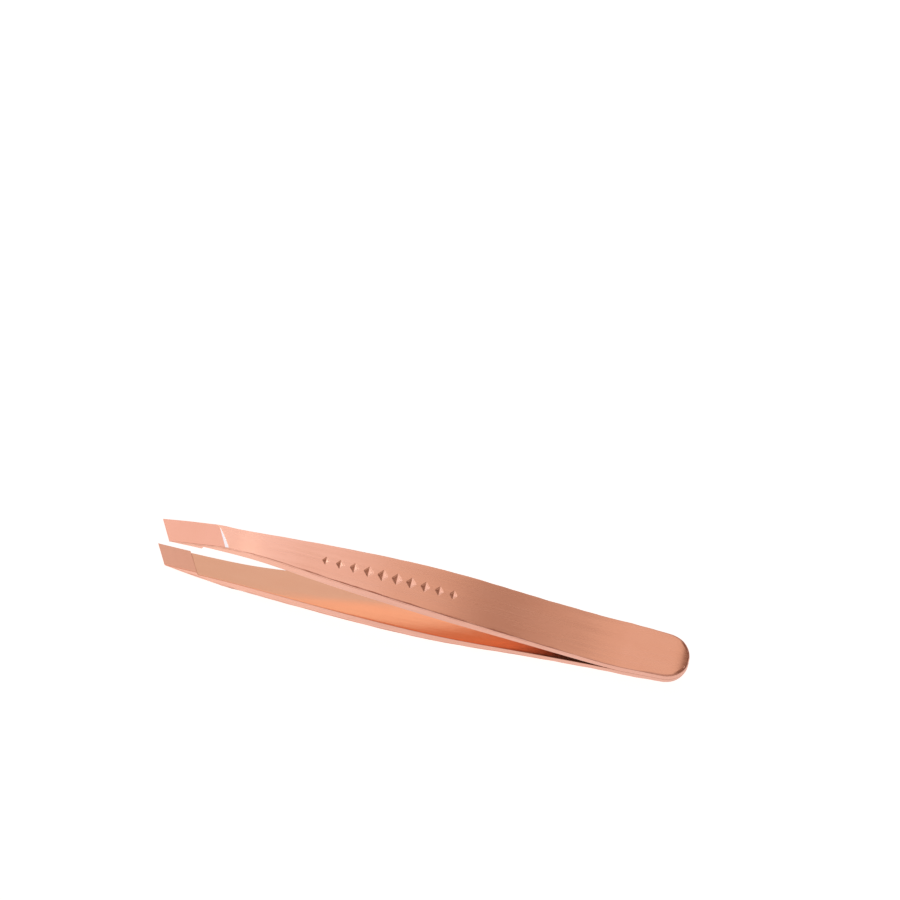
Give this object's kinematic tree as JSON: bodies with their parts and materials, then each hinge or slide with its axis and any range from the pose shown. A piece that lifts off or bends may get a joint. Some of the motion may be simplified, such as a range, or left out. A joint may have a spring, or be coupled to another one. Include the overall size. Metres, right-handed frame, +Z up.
{
  "type": "slant tweezers",
  "caption": "Slant-tip tweezers: two bowed spring arms welded at a rounded heel, with ground tips, raised pads and a row of pressed lozenges.",
  "frame": {"origin": "on the plane the lower arm's belly rests on, under the middle of the overall box; the weld joint's plane is level, 6.0 mm above it", "axes": "+X from the tips to the welded heel, +Y across the width towards the longer side of the slant, +Z up through the two arms, with the ornament on top"},
  "size_m": [0.095, 0.0098, 0.012],
  "materials": {
    "rose_gold_satin": "fine lengthwise satin brushing under a rose-gold coating, bright deburred edges",
    "weld_metal": "fused steel, hidden between the leaves"
  },
  "bodies": {
    "heel": {"upper_heel_leaf": "rose_gold_satin", "lower_heel_leaf": "rose_gold_satin", "spot_welds": "weld_metal"},
    "upper_arm": {"upper_arm": "rose_gold_satin"},
    "lower_arm": {"lower_arm": "rose_gold_satin"}
  },
  "joints": [
    {"name": "upper_arm_flex", "type": "hinge", "parent": "heel", "child": "upper_arm", "pos_m": [0.0275, 0, 0.00708], "axis": [0, -1, 0], "range_deg": [0, 2.83], "stiffness_Nm_per_rad": 8.6},
    {"name": "lower_arm_flex", "type": "hinge", "parent": "heel", "child": "lower_arm", "pos_m": [0.0275, 0, 0.00493], "axis": [0, 1, 0], "range_deg": [0, 2.83], "stiffness_Nm_per_rad": 8.6}
  ]
}
